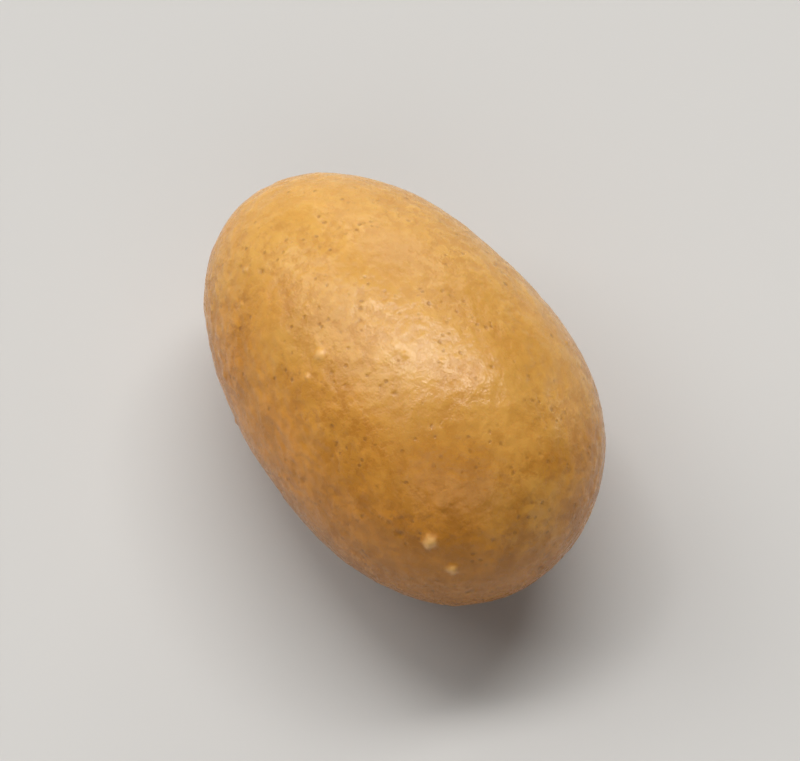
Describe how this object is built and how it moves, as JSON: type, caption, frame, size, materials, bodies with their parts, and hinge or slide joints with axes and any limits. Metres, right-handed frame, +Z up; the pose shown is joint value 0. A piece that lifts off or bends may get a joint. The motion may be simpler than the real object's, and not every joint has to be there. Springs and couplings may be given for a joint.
{
  "type": "japanese peanut",
  "caption": "Egg-shaped peanut snack: a crisp, golden-tan baked flour crust with a soy glaze, closed all round, lying on its side on a small flat spot.",
  "frame": {"origin": "on the surface that the peanut lies on, under the middle of its box", "axes": "+X along the egg towards its blunt end, +Y across it, +Z up from the surface that it lies on"},
  "size_m": [0.0204, 0.0134, 0.0132],
  "materials": {
    "crust": "satin"
  },
  "bodies": {
    "root": {"peanut": "crust"}
  },
  "joints": []
}
